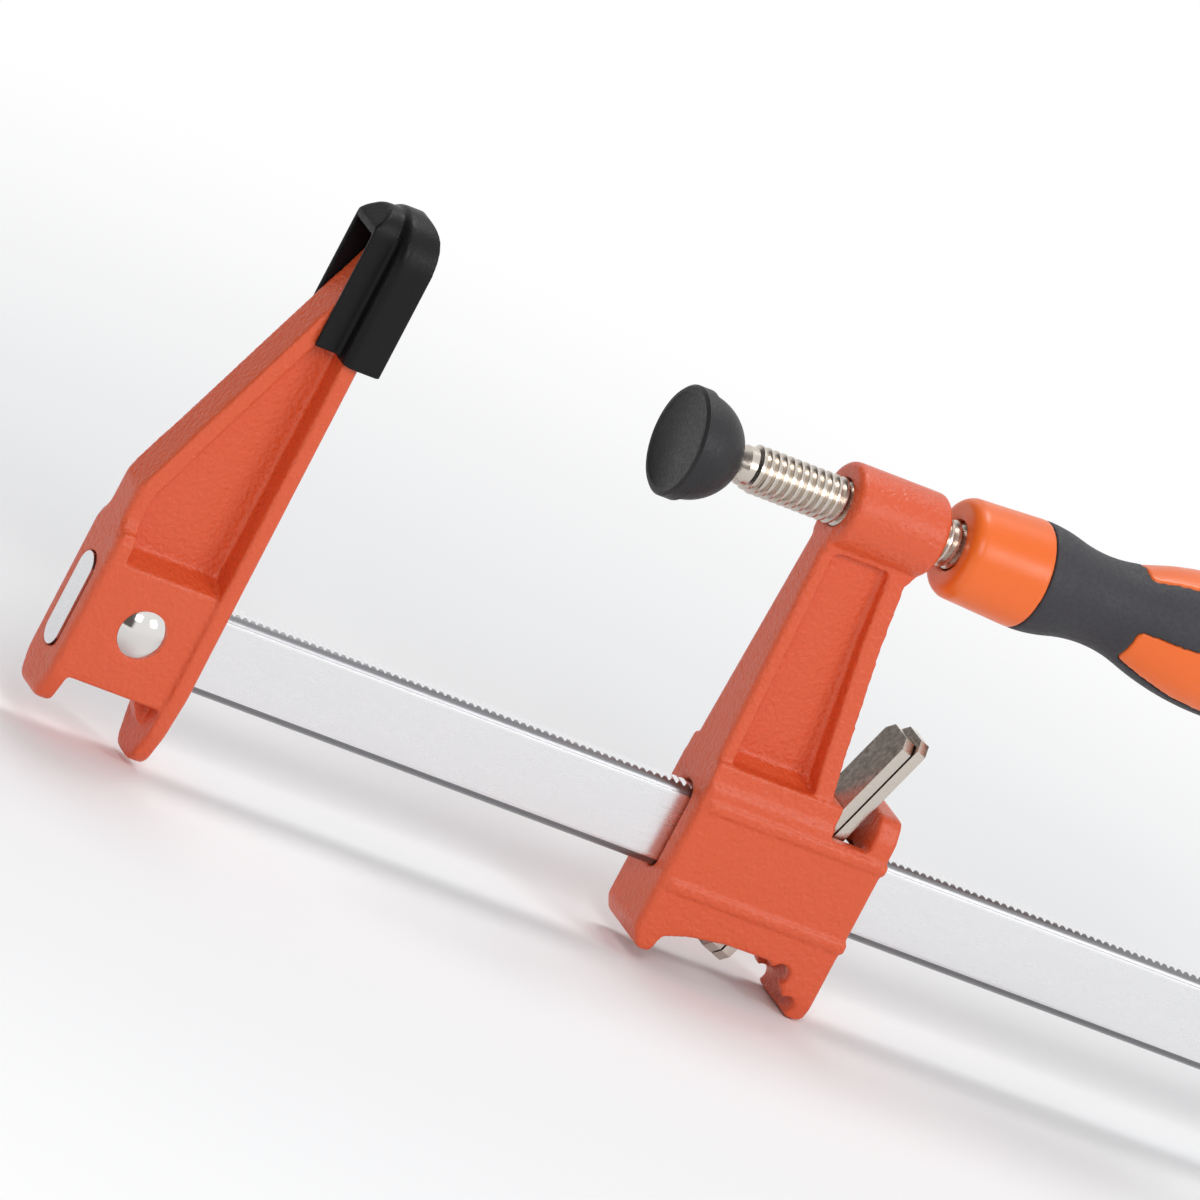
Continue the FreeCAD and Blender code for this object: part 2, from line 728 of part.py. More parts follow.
hollowed = cut(
    "sliding_hollowed", casting, jaw_slot, cavity, window, plate_pocket, screw_bore, *scallops)
spring_z = bar_bottom - size("spring_below_bar")
spring_stub = round_bar(
    "spring_stub", "Sizes.spring_diameter / 2 - Sizes.spring_wire - Sizes.spring_clearance",
    Vector(cavity_rear - 2.5, 0, spring_z), Vector(cavity_rear + 1, 0, spring_z))
sliding_jaw = fuse("sliding_jaw", hollowed, spring_stub)


# Clutch plates
plate_half = size("plate_width") / 2
drop = (fulcrum.z - foot - size("plate_above_foot")) / math.cos(lean)
for index, name in enumerate(("clutch_plate_front", "clutch_plate_rear")):
    plate = body(name)
    length = size("plate_length") + index * size("plate_reach")
    corner = size("plate_corner")
    blank = body_sketch(plate, name + "_blank", "YZ", outline(mirrored([
        (plate_half - corner, -drop), (plate_half, corner - drop),
        (plate_half, length - drop - corner), (plate_half - corner, length - drop)])))
    pad(plate, blank, "Sizes.plate_thickness")
    # The slot is centred where the plate's middle crosses the middle of the bar.
    middle = size("plate_thickness") / 2 + index * plate_step
    level = (bar_middle - fulcrum.z + middle * math.sin(lean)) / math.cos(lean)
    slot_half = size("plate_slot_height") / 2
    side = bar_half + size("plate_slot_gap")
    opening = body_sketch(plate, name + "_slot", "YZ", outline(mirrored([
        (side, level - slot_half, 0.8), (side, level + slot_half, 0.8)])))
    pocket(plate, opening, "Sizes.plate_thickness * 4")
    plate.Placement = FreeCAD.Placement(
        fulcrum + across * (index * plate_step), FreeCAD.Rotation(Vector(0, 1, 0), size("plate_lean")))


# Coil spring between the rear plate and the rear wall
spring_back = cavity_rear - 0.05
spring_face = plate_front_x(spring_z) + (plate_step + size("plate_thickness")) / math.cos(lean)
wire = size("spring_wire") / 2
coil_radius = size("spring_diameter") / 2 - wire
coil_start = spring_face + coil_radius * math.tan(lean) + wire + size("spring_clearance")
coil_run = spring_back - wire - coil_start
turn_count = size("spring_turns")
helix = Part.makeLongHelix(coil_run / turn_count, coil_run, coil_radius)
section_wire = Part.Wire([Part.Circle(Vector(coil_radius, 0, 0), Vector(0, 1, 0), wire).toShape()])
coil = Part.Wire(helix.Edges).makePipeShell([section_wire], True, True)
clutch_spring = doc.addObject("Part::Feature", "clutch_spring")
clutch_spring.Shape = coil
clutch_spring.Placement = FreeCAD.Placement(
    Vector(coil_start, 0, spring_z), FreeCAD.Rotation(Vector(0, 1, 0), 90))


# Swivel pad, its snap ring and the screw, all turned about the X axis
thread_radius = size("thread_diameter") / 2
thread_start = front - size("screw_reach")
ball_radius = size("ball_diameter") / 2
neck_radius = size("neck_diameter") / 2
socket_radius = ball_radius + size("socket_gap")
swivel_back = thread_start - size("swivel_to_thread")
swivel_face = swivel_back - size("swivel_depth")
ball_x = swivel_back - 5.4
ring_middle = ball_x + 4.0
groove_half = size("ring_groove_length") / 2
groove_radius = size("ring_outer_diameter") / 2 + 0.5
face_radius = size("swivel_face_diameter") / 2
rim_end = swivel_face + size("swivel_rim")
swivel_pad = body("swivel_pad")
swivel_back_radius = groove_radius + 1.0
swivel_edges = [
    Part.LineSegment(Vector(ball_x - socket_radius, 0, 0), Vector(swivel_face + 0.5, 0, 0))]
swivel_points = [
    (swivel_face + 0.5, 0), (swivel_face + 0.5, face_radius - 2.2), (swivel_face, face_radius - 1.6),
    (swivel_face, face_radius - 0.7), (swivel_face + 0.7, face_radius), (rim_end, face_radius),
    (rim_end + 0.4, face_radius - 0.7)]
for first, second in zip(swivel_points, swivel_points[1:]):
    swivel_edges.append(Part.LineSegment(Vector(*first, 0), Vector(*second, 0)))
dome_bulge = Vector(
    rim_end + (swivel_back - rim_end) * 0.66,
    swivel_back_radius + (face_radius - swivel_back_radius) * 0.56, 0)
swivel_edges.append(Part.Arc(
    Vector(*swivel_points[-1], 0), dome_bulge, Vector(swivel_back, swivel_back_radius, 0)))
socket_points = [
    (swivel_back, swivel_back_radius), (swivel_back, socket_radius),
    (ring_middle + groove_half, socket_radius), (ring_middle + groove_half, groove_radius),
    (ring_middle - groove_half, groove_radius), (ring_middle - groove_half, socket_radius),
    (ball_x, socket_radius)]
for first, second in zip(socket_points, socket_points[1:]):
    swivel_edges.append(Part.LineSegment(Vector(*first, 0), Vector(*second, 0)))
diagonal = socket_radius * math.sqrt(0.5)
swivel_edges.append(Part.Arc(
    Vector(ball_x, socket_radius, 0), Vector(ball_x - diagonal, diagonal, 0),
    Vector(ball_x - socket_radius, 0, 0)))
turned(swivel_pad, "swivel_outline", swivel_edges)

ring_half = size("ring_thickness") / 2
ring_inner = neck_radius + 0.3
ring_outer = size("ring_outer_diameter") / 2
pad_retaining_ring = body("pad_retaining_ring")
turned(pad_retaining_ring, "ring_outline", outline([
    (ring_middle - ring_half, ring_inner), (ring_middle + ring_half, ring_inner),
    (ring_middle + ring_half, ring_outer), (ring_middle - ring_half, ring_outer)]))
ring_mouth = body_sketch(pad_retaining_ring, "ring_mouth", "XY", outline([
    (ring_middle - 2, -1.0), (ring_middle + 2, -1.0), (ring_middle + 2, 1.0), (ring_middle - 2, 1.0)]),
    -ring_outer)
pocket(pad_retaining_ring, ring_mouth, "Sizes.ring_outer_diameter")

handle_start = size("handle_start")
thread_end = thread_start + size("thread_length")
shank_end = handle_start + size("shank_length")
shank_radius = size("shank_diameter") / 2
root_radius = thread_radius - size("thread_depth")
nose_radius = size("nose_diameter") / 2
neck_start = math.sqrt(ball_radius ** 2 - neck_radius ** 2)
spindle = body("spindle")
thread_pitch = size("thread_pitch")
thread_count = int(size("thread_length") / thread_pitch)
screw_points = [
    (ball_x + neck_start, neck_radius), (thread_start - 3.0, neck_radius),
    (thread_start - 2.4, nose_radius), (thread_start, root_radius)]
for number in range(thread_count):
    turn_start = thread_start + number * thread_pitch
    screw_points.append((turn_start + 0.38 * thread_pitch, thread_radius))
    screw_points.append((turn_start + 0.58 * thread_pitch, thread_radius))
    screw_points.append((turn_start + 0.96 * thread_pitch, root_radius))
    screw_points.append((turn_start + thread_pitch, root_radius))
screw_points += [
    (thread_start + thread_count * thread_pitch, shank_radius), (shank_end - 1.5, shank_radius),
    (shank_end, shank_radius - 1.5), (shank_end, 0), (ball_x - ball_radius, 0)]
screw_edges = [
    Part.LineSegment(Vector(*first, 0), Vector(*second, 0))
    for first, second in zip(screw_points, screw_points[1:]) if first != second]
screw_edges.append(Part.Arc(
    Vector(ball_x - ball_radius, 0, 0), Vector(ball_x, ball_radius, 0),
    Vector(ball_x + neck_start, neck_radius, 0)))
turned(spindle, "spindle_outline", screw_edges)


# Handle: hard core with the collar and the inlays, and the soft grip moulded over it
collar = size("collar_diameter") / 2
collar_end = handle_start + size("collar_length")
handle_end = handle_start + size("handle_length")
waist = size("waist_diameter") / 2
swell = size("swell_diameter") / 2
waist_x = handle_start + size("waist_from_start")
swell_x = handle_start + size("swell_from_start")
waist_round = size("waist_radius")
end_round = size("end_radius")
end_run = handle_end - end_round - swell_x


def tangent_sum(run, rise):
    """Sum of the radii of a convex and a concave arc that meet smoothly over a run and a rise."""
    return (run ** 2 + rise ** 2) / (2 * rise)


collar_round = tangent_sum(waist_x - collar_end, collar - waist) - waist_round
swell_round = tangent_sum(swell_x - waist_x, swell - waist) - waist_round
back_round = tangent_sum(end_run, swell - size("end_diameter") / 2)
collar_centre = Vector(collar_end, collar - collar_round, 0)
waist_centre = Vector(waist_x, waist + waist_round, 0)
swell_centre = Vector(swell_x, swell - swell_round, 0)
back_centre = Vector(swell_x, swell - back_round, 0)
end_centre = Vector(
    handle_end - end_round, back_centre.y + math.sqrt((back_round - end_round) ** 2 - end_run ** 2), 0)


def arc_about(centre, start, end):
    """The shorter arc about centre from start to end."""
    middle = (start - centre) + (end - centre)
    middle.normalize()
    return Part.Arc(start, centre + middle * (start - centre).Length, end)


def toward(centre, other, radius):
    """The point at a radius from centre in the direction of other."""
    run = other - centre
    run.normalize()
    return centre + run * radius


def handle_edges(inset, start, nose):
    """Side outline of the grip moved in by inset, closed by the points of nose and the axis."""
    first = Vector(collar_end, collar - inset, 0)
    second = toward(collar_centre, waist_centre, collar_round - inset)
    third = toward(swell_centre, waist_centre, swell_round - inset)
    fourth = Vector(swell_x, swell - inset, 0)
    fifth = toward(back_centre, end_centre, back_round - inset)
    sixth = Vector(handle_end - inset, end_centre.y, 0)
    arcs = [
        arc_about(collar_centre, first, second), arc_about(waist_centre, second, third),
        arc_about(swell_centre, third, fourth), arc_about(back_centre, fourth, fifth),
        arc_about(end_centre, fifth, sixth)]
    chain = [sixth, Vector(sixth.x, 0, 0), Vector(start, 0, 0)]
    chain += [Vector(x, y, 0) for x, y in nose] + [first]
    lines = [
        Part.LineSegment(one, two) for one, two in zip(chain, chain[1:]) if (two - one).Length > 1e-6]
    return arcs + lines


def lathe(name, edges):
    """A solid of revolution about the X axis, from an outline in X and Z."""
    solid = doc.addObject("Part::Revolution", name)
    solid.Source = profile(name + "_outline", "XZ", edges)
    solid.Axis = Vector(1, 0, 0)
    solid.Base = Vector(0, 0, 0)
    solid.Angle = 360
    solid.Solid = True
    return solid


def inlay_prisms(name, grow):
    """Three outlines of the inlays, run outwards from the axis and set evenly round it."""
    start = handle_start + size("inlay_from_start") - grow
    end = start + size("inlay_length") + 2 * grow
    half = size("inlay_width") / 2 + grow
    prisms = []
    for number in range(3):
        prism = top_slab("%s_%d" % (name, number + 1), [
            (start, -half * 0.62, 2.2), (start + 17, -half, 9), (end - 17, -half, 9),
            (end, -half * 0.55, 2.5), (end, half * 0.55, 2.5), (end - 17, half, 9),
            (start + 17, half, 9), (start, half * 0.62, 2.2)], waist * 0.4, swell * 1.5)
        turn = 90 + size("inlay_turn") - 120 * number
        spin = FreeCAD.Rotation(Vector(1, 0, 0), turn)
        prism.Placement = FreeCAD.Placement(Vector(0, 0, 0), spin)
        prisms.append(prism)
    return prisms


thickness = size("grip_thickness")
entry = thread_radius + 0.35
core_round = lathe("core_round", handle_edges(thickness, handle_start, [
    (handle_start, collar - 3.2), (handle_start + 0.7, collar - 1.9), (handle_start + 2.4, collar - 1.0),
    (collar_end, collar)]))
islands = common(
    "inlays", lathe("inlay_skin", handle_edges(0.15, collar_end, [])),
    fuse("inlay_prisms", *inlay_prisms("inlay", 0)))
shank_bore = round_bar(
    "shank_bore", "Sizes.shank_diameter / 2 + Sizes.pin_gap",
    Vector(handle_start - 1, 0, 0), Vector(shank_end + size("pin_gap"), 0, 0))
entry_bore = round_bar(
    "entry_bore", str(entry), Vector(handle_start - 1, 0, 0), Vector(thread_end + 0.4, 0, 0))
handle_core = cut("handle_core", fuse("core_and_inlays", core_round, islands), shank_bore, entry_bore)
grip_inner = lathe("grip_inner", handle_edges(
    thickness - size("inlay_gap"), collar_end - 1, [(collar_end - 1, collar - thickness + size("inlay_gap"))]))
handle_grip = cut(
    "handle_grip", lathe("grip_skin", handle_edges(0, collar_end, [])), grip_inner,
    *inlay_prisms("grip_window", size("inlay_gap")))


doc.recompute()

PIECES = [
    bar, bar_stop_pin, fixed_jaw, fixed_jaw_rivet, fixed_jaw_pad, sliding_jaw, clutch_spring, swivel_pad,
    pad_retaining_ring, spindle, handle_core, handle_grip,
    doc.getObject("clutch_plate_front"), doc.getObject("clutch_plate_rear"),
]
for item in doc.Objects:
    if "Invalid" in item.State or "Error" in item.State:
        raise RuntimeError("%s failed: %s" % (item.Name, item.State))
for piece in PIECES:
    if piece.Shape.isNull() or not piece.Shape.isValid() or not piece.Shape.Solids:
        raise RuntimeError("%s has no valid solid" % piece.Label)
os.makedirs("parts", exist_ok=True)
for piece in PIECES:
    piece.Shape.exportStep(os.path.join("parts", piece.Label + ".step"))
    box = piece.Shape.BoundBox
    print("%-20s solids %d volume %9.1f x %.1f %.1f y %.1f %.1f z %.1f %.1f" % (
        piece.Label, len(piece.Shape.Solids), piece.Shape.Volume,
        box.XMin, box.XMax, box.YMin, box.YMax, box.ZMin, box.ZMax))
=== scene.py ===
# %% [markdown]
# # A quick release bar clamp
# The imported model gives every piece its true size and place. This notebook dresses it: it softens the
# castings, cuts a real thread, winds the spring and paints each finish, and it changes no dimension.

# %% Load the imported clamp
import math

import bmesh
import bpy
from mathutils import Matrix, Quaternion, Vector


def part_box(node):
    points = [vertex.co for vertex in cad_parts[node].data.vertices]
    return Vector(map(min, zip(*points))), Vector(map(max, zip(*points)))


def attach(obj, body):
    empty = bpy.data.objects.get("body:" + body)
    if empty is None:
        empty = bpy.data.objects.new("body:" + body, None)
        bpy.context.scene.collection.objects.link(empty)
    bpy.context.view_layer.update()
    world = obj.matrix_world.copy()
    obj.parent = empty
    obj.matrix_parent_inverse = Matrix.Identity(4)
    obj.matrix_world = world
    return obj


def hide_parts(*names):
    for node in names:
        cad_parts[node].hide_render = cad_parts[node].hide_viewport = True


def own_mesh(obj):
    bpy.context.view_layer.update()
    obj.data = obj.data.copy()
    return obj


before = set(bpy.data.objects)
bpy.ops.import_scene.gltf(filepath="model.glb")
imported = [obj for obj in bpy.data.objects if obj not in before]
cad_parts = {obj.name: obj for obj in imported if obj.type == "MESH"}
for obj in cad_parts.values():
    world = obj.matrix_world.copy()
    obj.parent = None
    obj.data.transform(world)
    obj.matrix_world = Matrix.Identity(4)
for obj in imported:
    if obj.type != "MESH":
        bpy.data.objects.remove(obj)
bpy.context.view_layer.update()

print("pieces in the frame:", len(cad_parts))

# %% [markdown]
# ## Helpers
# The drawings of a hand tool are in millimetres and Blender's scene is in metres, so one factor turns the
# first into the second. Each finished mesh then goes through one function: it names the object, gives it
# its finish, lets it ride on its body and hides the plain solid that it stands for.

# %% Millimetres, and the last step of every piece
MM = 0.001
LARGE_FACE = 15 * MM ** 2
MOST_CORNERS_OF_A_SMALL_FACE = 4


def smooth_shading(bm, crease_degrees):
    """Shades a mesh smooth, but keeps large joined faces flat and edges sharper than the crease hard."""
    for face in bm.faces:
        joined = len(face.verts) > MOST_CORNERS_OF_A_SMALL_FACE
        face.smooth = not joined or face.calc_area() < LARGE_FACE
    for edge in bm.edges:
        turn = edge.calc_face_angle(0.0) if len(edge.link_faces) == 2 else 0.0
        edge.smooth = turn < math.radians(crease_degrees)


def place_piece(name, bm, finish, body, node, crease_degrees=32):
    """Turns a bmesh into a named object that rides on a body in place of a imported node."""
    smooth_shading(bm, crease_degrees)
    mesh = bpy.data.meshes.new(name)
    bm.to_mesh(mesh)
    bm.free()
    mesh.materials.append(finish)
    piece = bpy.data.objects.new(name, mesh)
    bpy.context.scene.collection.objects.link(piece)
    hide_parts(node)
    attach(piece, body)
    print(name, "faces:", len(mesh.polygons))
    return piece


def node_copy(node):
    """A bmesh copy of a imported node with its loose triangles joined."""
    bm = bmesh.new()
    bm.from_mesh(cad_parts[node].data)
    bmesh.ops.remove_doubles(bm, verts=bm.verts, dist=1e-6)
    return bm


def clean_facets(bm, degrees=0.6):
    """Joins the triangles of each flat face into one polygon."""
    bmesh.ops.dissolve_limit(
        bm, angle_limit=math.radians(degrees), verts=bm.verts, edges=bm.edges,
        use_dissolve_boundaries=False)


# %% [markdown]
# ## Finishes
# The castings wear a thick orange-red powder coat over a sand-cast skin, so the paint is even in colour
# while the surface under it is slightly pebbled. Metal parts are plated. The pads are grained black
# plastic, the handle is orange plastic, and its grip is a soft black rubber. All of them are made with
# noise on Object coordinates, because the meshes stay where the frame puts them.

# %% One function for all finishes
def noise_bump(tree, shader, scale, strength, stretch=(1, 1, 1), detail=3.0, distance=0.1 * MM):
    """A bump from noise; scale is the number of grains in a metre."""
    place = tree.nodes.new("ShaderNodeTexCoord")
    mapping = tree.nodes.new("ShaderNodeMapping")
    mapping.inputs["Scale"].default_value = stretch
    noise = tree.nodes.new("ShaderNodeTexNoise")
    noise.inputs["Scale"].default_value = scale
    noise.inputs["Detail"].default_value = detail
    bump = tree.nodes.new("ShaderNodeBump")
    bump.inputs["Strength"].default_value = strength
    bump.inputs["Distance"].default_value = distance
    tree.links.new(place.outputs["Object"], mapping.inputs["Vector"])
    tree.links.new(mapping.outputs["Vector"], noise.inputs["Vector"])
    tree.links.new(noise.outputs["Fac"], bump.inputs["Height"])
    tree.links.new(bump.outputs["Normal"], shader.inputs["Normal"])
    return noise


def ramp_between(tree, noise, socket, low, high):
    """Drives a socket with noise, from the value low to the value high."""
    ramp = tree.nodes.new("ShaderNodeMapRange")
    ramp.inputs["From Min"].default_value = 0.3
    ramp.inputs["From Max"].default_value = 0.7
    ramp.inputs["To Min"].default_value = low
    ramp.inputs["To Max"].default_value = high
    tree.links.new(noise.outputs["Fac"], ramp.inputs["Value"])
    tree.links.new(ramp.outputs["Result"], socket)


def make_finish(name, slot, colour, roughness, metallic=0.0, coat=0.0):
    """A Principled material with its plain values on its own sockets."""
    finish = bpy.data.materials.new(name)
    finish.use_nodes = True
    finish["slot"] = slot
    shader = finish.node_tree.nodes["Principled BSDF"]
    shader.inputs["Base Color"].default_value = (*colour, 1.0)
    shader.inputs["Roughness"].default_value = roughness
    shader.inputs["Metallic"].default_value = metallic
    shader.inputs["Coat Weight"].default_value = coat
    shader.inputs["Coat Roughness"].default_value = 0.25
    return finish, finish.node_tree, shader


# %% Powder coat, plated steel and plastics
powder_coat, tree, shader = make_finish(
    "powder_coat", "casting_paint", (0.72, 0.094, 0.024), 0.36, coat=0.1)
pebble = noise_bump(tree, shader, 850, 1.0, detail=3.0, distance=0.5 * MM)
ramp_between(tree, pebble, shader.inputs["Roughness"], 0.3, 0.44)

bar_plating, tree, shader = make_finish("bar_plating", "bar_steel", (0.82, 0.82, 0.83), 0.26, metallic=1.0)
scratches = noise_bump(tree, shader, 900, 0.03, stretch=(0.1, 1, 1), distance=0.02 * MM)
ramp_between(tree, scratches, shader.inputs["Roughness"], 0.22, 0.3)

# A darker plating colour for the bar's rolled edges: a painted dark reflection.
bar_edge_reflection_paint, _, _ = make_finish("bar_edge_painted_reflection", "bar_steel", (0.24, 0.24, 0.25), 0.3, metallic=1.0)

nickel, tree, shader = make_finish(
    "nickel_plating", "plated_steel", (0.6, 0.54, 0.48), 0.22, metallic=1.0)
dull = noise_bump(tree, shader, 700, 0.1, distance=0.04 * MM)
ramp_between(tree, dull, shader.inputs["Roughness"], 0.18, 0.3)

chrome, _, _ = make_finish("rivet_chrome", "plated_steel", (0.74, 0.72, 0.7), 0.1, metallic=1.0)

spring_wire, _, _ = make_finish("spring_wire", "spring_steel", (0.42, 0.42, 0.43), 0.35, metallic=1.0)

pad_black, tree, shader = make_finish("pad_black", "pad_plastic", (0.018, 0.018, 0.02), 0.5)
shader.inputs["Specular IOR Level"].default_value = 0.35
grain = noise_bump(tree, shader, 1500, 0.6, detail=2.0, distance=0.15 * MM)
ramp_between(tree, grain, shader.inputs["Roughness"], 0.42, 0.58)

hood_black, tree, shader = make_finish("hood_black", "pad_plastic", (0.005, 0.005, 0.006), 0.42)
shader.inputs["Specular IOR Level"].default_value = 0.2
grain = noise_bump(tree, shader, 1500, 0.5, detail=2.0, distance=0.12 * MM)
ramp_between(tree, grain, shader.inputs["Roughness"], 0.36, 0.5)

handle_orange, tree, shader = make_finish(
    "handle_orange", "handle_plastic", (0.88, 0.15, 0.014), 0.34, coat=0.06)
mould = noise_bump(tree, shader, 260, 0.06, distance=0.2 * MM)
ramp_between(tree, mould, shader.inputs["Roughness"], 0.3, 0.4)

grip_black, tree, shader = make_finish("grip_black", "grip_rubber", (0.03, 0.028, 0.034), 0.55)
skin = noise_bump(tree, shader, 1100, 0.3, detail=2.0, distance=0.12 * MM)
ramp_between(tree, skin, shader.inputs["Roughness"], 0.54, 0.7)
print("finishes:", len(bpy.data.materials))

# %% [markdown]
# ## Castings
# Cast iron has no knife edges: the mould rounds every corner and fills every inside corner a little. A
# bevel on so many crossing edges would break, so the solid is filled with small cubes, skinned again, and
# relaxed. Flat faces stay flat, while corners turn soft, as on the real jaws.

# %% Re-skin a solid with soft corners
def soft_skin(node, cube, passes, name):
    """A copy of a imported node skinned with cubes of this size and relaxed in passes."""
    bm = node_copy(node)
    mesh = bpy.data.meshes.new(name + "_rough")
    bm.to_mesh(mesh)
    bm.free()
    rough = bpy.data.objects.new(name + "_rough", mesh)
    bpy.context.scene.collection.objects.link(rough)
    cubes = rough.modifiers.new("cubes", "REMESH")
    cubes.mode = "VOXEL"
    cubes.voxel_size = cube
    cubes.adaptivity = 0.0
    bpy.context.view_layer.update()
    skinned = bpy.data.meshes.new_from_object(rough.evaluated_get(bpy.context.evaluated_depsgraph_get()))
    bpy.data.objects.remove(rough)
    bm = bmesh.new()
    bm.from_mesh(skinned)
    bpy.data.meshes.remove(skinned)
    for _ in range(passes):
        bmesh.ops.smooth_vert(
            bm, verts=bm.verts, factor=0.5, use_axis_x=True, use_axis_y=True, use_axis_z=True)
    return bm


# %% Both jaws
place_piece("fixed_jaw_casting", soft_skin("fixed_jaw", 0.5 * MM, 4, "fixed_jaw_casting"),
            powder_coat, "frame_bar", "fixed_jaw", 75)
place_piece("sliding_jaw_casting", soft_skin("sliding_jaw", 0.52 * MM, 3, "sliding_jaw_casting"),
            powder_coat, "head", "sliding_jaw", 75)

# %% [markdown]
# ## Pads
# The hood on the fixed jaw and the pad on the screw are moulded plastic, with small round edges. The hood
# gets the same soft skin, with finer cubes. The pad is a plain turned form whose rim and step already have
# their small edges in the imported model, so its own mesh is only shaded smooth.

# %% Hood and swivel pad
place_piece("jaw_hood", soft_skin("fixed_jaw_pad", 0.4 * MM, 4, "jaw_hood"),
            hood_black, "frame_bar", "fixed_jaw_pad", 75)
place_piece("swivel_foot", node_copy("swivel_pad"), pad_black, "pad", "swivel_pad", 40)

# %% [markdown]
# ## Bar, rivet, pin and plates
# These are stock steel, so their flat faces stay crisp. The bar's rolled edges get a darker plating colour,
# a painted dark reflection. The flat faces of the plates are joined into single polygons first, so that a
# bevel can run round their rims as the tumbling drum leaves them.

# %% Bar with a painted dark reflection on its rolled edges
# Faces that lean this far sideways are the bar's rolled edges, which get the painted dark reflection.
REFLECTION_PAINTED_FACES = (0.3, 0.96)

bar = place_piece("steel_bar", node_copy("bar"), bar_plating, "frame_bar", "bar", 25)
bar.data.materials.append(bar_edge_reflection_paint)
for face in bar.data.polygons:
    if REFLECTION_PAINTED_FACES[0] < abs(face.normal.y) < REFLECTION_PAINTED_FACES[1]:
        face.material_index = 1

# %% Other steel pieces
place_piece("stop_pin", node_copy("bar_stop_pin"), bar_plating, "frame_bar", "bar_stop_pin", 30)
place_piece("jaw_rivet", node_copy("fixed_jaw_rivet"), chrome, "frame_bar", "fixed_jaw_rivet", 40)
place_piece("snap_ring", node_copy("pad_retaining_ring"), spring_wire, "screw_carrier",
            "pad_retaining_ring", 40)


def rim_bevel(bm, width, sharper_than):
    """Rounds the edges of a solid that turn by more than an angle in degrees."""
    rims = [e for e in bm.edges if len(e.link_faces) == 2
            and e.calc_face_angle(0.0) > math.radians(sharper_than)]
    bmesh.ops.bevel(
        bm, geom=rims, offset=width, offset_type="OFFSET", affect="EDGES", segments=3, profile=0.5,
        clamp_overlap=True, material=-1)


PLATE_RIM = 0.35 * MM
RIM_TURN = 50
for side in ("front", "rear"):
    plate = node_copy("clutch_plate_" + side)
    clean_facets(plate)
    rim_bevel(plate, PLATE_RIM, RIM_TURN)
    place_piece(side + "_clutch_plate", plate, nickel, "clutch", "clutch_plate_" + side, 30)

# %% [markdown]
# ## Screw
# A real thread is one ridge wound round a rod. The ridge is a closed strip: a small trapezoid is carried
# round the axis and moved one pitch along for each turn. The rod under it is a profile spun about the axis.
# The ridge sinks into the rod at both ends, as a rolled thread runs out. A spin that also climbs would wind
# a ridge of one height, so here each ring gets its own height and the rings are skinned in order.

# %% Sweep a small closed section along a path of frames
def sweep(bm, rings):
    """Skins closed rings of points in order and caps the two ends."""
    loops = []
    for ring in rings:
        loops.append([bm.verts.new(point) for point in ring])
    for first, second in zip(loops, loops[1:]):
        for index in range(len(first)):
            after = (index + 1) % len(first)
            bm.faces.new((first[index], first[after], second[after], second[index]))
    bm.faces.new(loops[0])
    bm.faces.new(loops[-1])
    bmesh.ops.recalc_face_normals(bm, faces=bm.faces)


def spun(profile, steps):
    """A closed solid spun about the screw's axis, from (x, radius) points in metres."""
    bm = bmesh.new()
    corners = [bm.verts.new((x, 0, r)) for x, r in profile]
    edges = [bm.edges.new(pair) for pair in zip(corners, corners[1:])]
    bmesh.ops.spin(
        bm, geom=corners + edges, cent=(0, 0, 0), axis=(1, 0, 0), angle=2 * math.pi, steps=steps,
        use_merge=True, use_duplicate=False)
    bmesh.ops.remove_doubles(bm, verts=bm.verts, dist=1e-7)
    bmesh.ops.recalc_face_normals(bm, faces=bm.faces)
    return bm


# %% Thread and rod of the screw
PITCH = 2.15 * MM
CREST_RADIUS = 6.0 * MM
ROOT_RADIUS = 5.0 * MM
THREAD_START = 101.7 * MM
THREAD_END = 166.2 * MM
BALL_CENTRE = 92.9 * MM
BALL_RADIUS = 4.6 * MM
BALL_POINTS = 9
NECK_RADIUS = 2.8 * MM
SHANK_RADIUS = 4.9 * MM
SHANK_END = 241.6 * MM
TURN_STEPS = 56

ball_join = math.sqrt(BALL_RADIUS ** 2 - NECK_RADIUS ** 2)
rod_profile = [(BALL_CENTRE - BALL_RADIUS, 0)]
for step in range(1, BALL_POINTS):
    turn = step / BALL_POINTS * (math.pi - math.atan2(NECK_RADIUS, ball_join))
    rod_profile.append((BALL_CENTRE - BALL_RADIUS * math.cos(turn), BALL_RADIUS * math.sin(turn)))
rod_profile += [
    (BALL_CENTRE + ball_join, NECK_RADIUS), (THREAD_START - 3.1 * MM, NECK_RADIUS),
    (THREAD_START - 2.9 * MM, 3.1 * MM), (THREAD_START - 2.5 * MM, 3.6 * MM),
    (THREAD_START - 2.2 * MM, 3.8 * MM), (THREAD_START, ROOT_RADIUS),
    (THREAD_END, ROOT_RADIUS), (THREAD_END + 0.4 * MM, SHANK_RADIUS),
    (SHANK_END - 1.5 * MM, SHANK_RADIUS), (SHANK_END, SHANK_RADIUS - 1.5 * MM), (SHANK_END, 0)]
screw = spun(rod_profile, TURN_STEPS)

# %% Ridge of the thread
RUN_IN_TURNS = 0.8
LOWEST_RIDGE = 0.06
RIDGE_SINK = 0.25 * MM
HALF_CREST = 0.13

